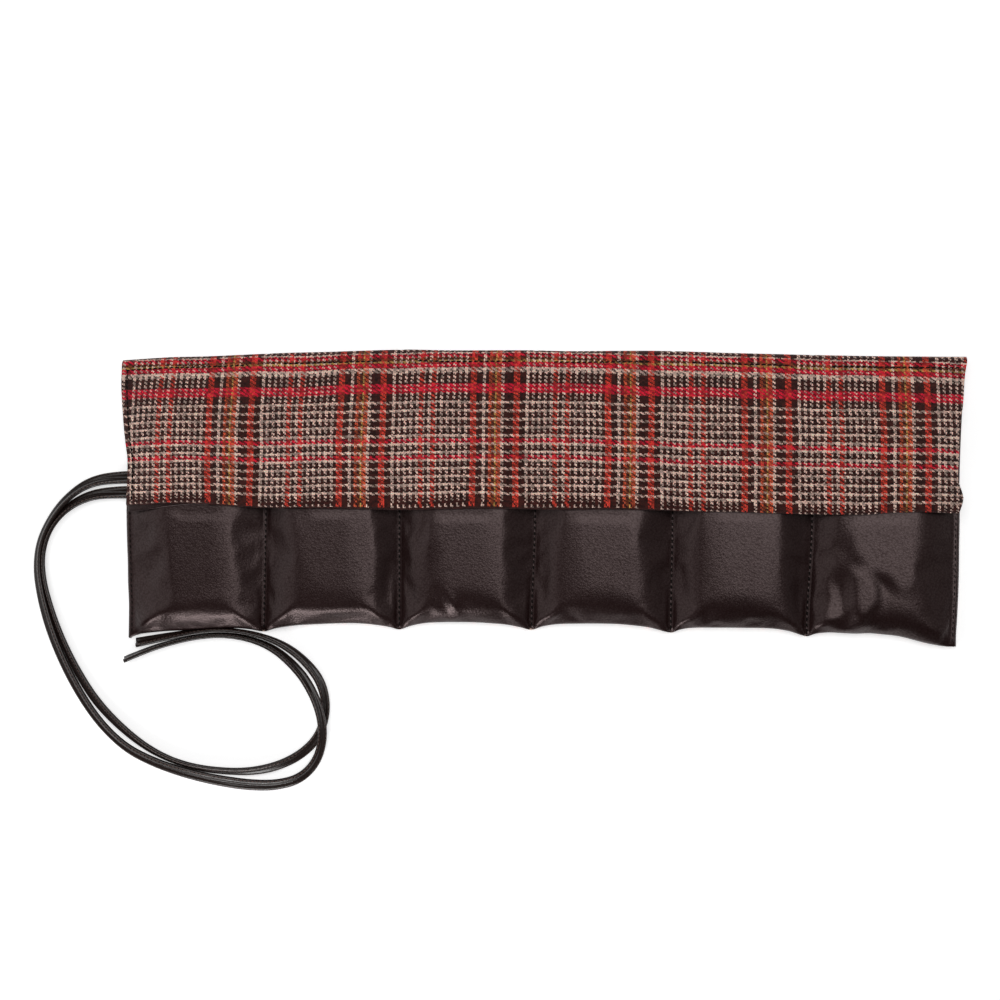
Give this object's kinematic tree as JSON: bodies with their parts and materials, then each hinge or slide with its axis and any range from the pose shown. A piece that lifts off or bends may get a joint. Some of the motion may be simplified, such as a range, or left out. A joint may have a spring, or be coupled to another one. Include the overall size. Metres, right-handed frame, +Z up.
{
  "type": "watch roll",
  "caption": "Soft tweed and leather roll for wristwatches: a row of sewn pockets under a folding flap, rolled up and closed with a pair of leather ties.",
  "frame": {"origin": "on the table under the middle of the open roll, leaving out the ties", "axes": "+X along the row of pockets away from the ties, +Y from the pockets' bottoms to the fold of the flap, +Z up"},
  "size_m": [0.5063, 0.24, 0.0159],
  "materials": {
    "tweed": "woven check, matt",
    "felt": "pressed felt, matt",
    "lining_leather": "smooth, low sheen",
    "pocket_leather": "fine grain, satin",
    "tie_leather": "stitched edge, satin"
  },
  "bodies": {
    "panel_1": {"back_cover_1": "tweed", "padding_1": "felt", "lining_1": "lining_leather", "pocket_1": "pocket_leather", "top_fold_1": "tweed", "divider_seam_1": "pocket_leather", "tie_tongue": "tie_leather", "tie_upper": "tie_leather", "tie_lower": "tie_leather"},
    "panel_2": {"back_cover_2": "tweed", "padding_2": "felt", "lining_2": "lining_leather", "pocket_2": "pocket_leather", "top_fold_2": "tweed", "divider_seam_2": "pocket_leather"},
    "panel_3": {"back_cover_3": "tweed", "padding_3": "felt", "lining_3": "lining_leather", "pocket_3": "pocket_leather", "top_fold_3": "tweed", "divider_seam_3": "pocket_leather"},
    "panel_4": {"back_cover_4": "tweed", "padding_4": "felt", "lining_4": "lining_leather", "pocket_4": "pocket_leather", "top_fold_4": "tweed", "divider_seam_4": "pocket_leather"},
    "panel_5": {"back_cover_5": "tweed", "padding_5": "felt", "lining_5": "lining_leather", "pocket_5": "pocket_leather", "top_fold_5": "tweed", "divider_seam_5": "pocket_leather"},
    "panel_6": {"back_cover_6": "tweed", "padding_6": "felt", "lining_6": "lining_leather", "pocket_6": "pocket_leather", "top_fold_6": "tweed"},
    "flap_1": {"flap_cover_1": "tweed", "flap_lining_1": "lining_leather", "flap_crease_1": "tweed"},
    "flap_2": {"flap_cover_2": "tweed", "flap_lining_2": "lining_leather", "flap_crease_2": "tweed"},
    "flap_3": {"flap_cover_3": "tweed", "flap_lining_3": "lining_leather", "flap_crease_3": "tweed"},
    "flap_4": {"flap_cover_4": "tweed", "flap_lining_4": "lining_leather", "flap_crease_4": "tweed"},
    "flap_5": {"flap_cover_5": "tweed", "flap_lining_5": "lining_leather", "flap_crease_5": "tweed"},
    "flap_6": {"flap_cover_6": "tweed", "flap_lining_6": "lining_leather"}
  },
  "joints": [
    {"name": "roll_1", "type": "hinge", "parent": "panel_1", "child": "panel_2", "pos_m": [-0.15, 0, 0.0016], "axis": [0, -1, 0], "range_deg": [0, 54], "deforming": ["flap_crease_1"]},
    {"name": "roll_2", "type": "hinge", "parent": "panel_2", "child": "panel_3", "pos_m": [-0.075, 0, 0.0016], "axis": [0, -1, 0], "range_deg": [0, 56], "deforming": ["flap_crease_2"]},
    {"name": "roll_3", "type": "hinge", "parent": "panel_3", "child": "panel_4", "pos_m": [0, 0, 0.0016], "axis": [0, -1, 0], "range_deg": [0, 58], "deforming": ["flap_crease_3"]},
    {"name": "roll_4", "type": "hinge", "parent": "panel_4", "child": "panel_5", "pos_m": [0.075, 0, 0.0016], "axis": [0, -1, 0], "range_deg": [0, 62], "deforming": ["flap_crease_4"]},
    {"name": "roll_5", "type": "hinge", "parent": "panel_5", "child": "panel_6", "pos_m": [0.15, 0, 0.0016], "axis": [0, -1, 0], "range_deg": [0, 66], "deforming": ["flap_crease_5"]},
    {"name": "flap_open_1", "type": "hinge", "parent": "panel_1", "child": "flap_1", "pos_m": [-0.1875, 0.07265, 0.00335], "axis": [-1, 0, 0], "range_deg": [0, 166], "deforming": ["top_fold_1"]},
    {"name": "flap_open_2", "type": "hinge", "parent": "panel_2", "child": "flap_2", "pos_m": [-0.1125, 0.07265, 0.00335], "axis": [-1, 0, 0], "range_deg": [0, 166], "deforming": ["top_fold_2"]},
    {"name": "flap_open_3", "type": "hinge", "parent": "panel_3", "child": "flap_3", "pos_m": [-0.0375, 0.07265, 0.00335], "axis": [-1, 0, 0], "range_deg": [0, 166], "deforming": ["top_fold_3"]},
    {"name": "flap_open_4", "type": "hinge", "parent": "panel_4", "child": "flap_4", "pos_m": [0.0375, 0.07265, 0.00335], "axis": [-1, 0, 0], "range_deg": [0, 166], "deforming": ["top_fold_4"]},
    {"name": "flap_open_5", "type": "hinge", "parent": "panel_5", "child": "flap_5", "pos_m": [0.1125, 0.07265, 0.00335], "axis": [-1, 0, 0], "range_deg": [0, 166], "deforming": ["top_fold_5"]},
    {"name": "flap_open_6", "type": "hinge", "parent": "panel_6", "child": "flap_6", "pos_m": [0.1875, 0.07265, 0.00335], "axis": [-1, 0, 0], "range_deg": [0, 166], "deforming": ["top_fold_6"]}
  ],
  "couplings": [
    {"joint": "roll_2", "follows": "roll_1", "ratio": 1.037},
    {"joint": "roll_3", "follows": "roll_1", "ratio": 1.0741},
    {"joint": "roll_4", "follows": "roll_1", "ratio": 1.1481},
    {"joint": "roll_5", "follows": "roll_1", "ratio": 1.2222},
    {"joint": "flap_open_2", "follows": "flap_open_1", "ratio": 1},
    {"joint": "flap_open_3", "follows": "flap_open_1", "ratio": 1},
    {"joint": "flap_open_4", "follows": "flap_open_1", "ratio": 1},
    {"joint": "flap_open_5", "follows": "flap_open_1", "ratio": 1},
    {"joint": "flap_open_6", "follows": "flap_open_1", "ratio": 1}
  ]
}
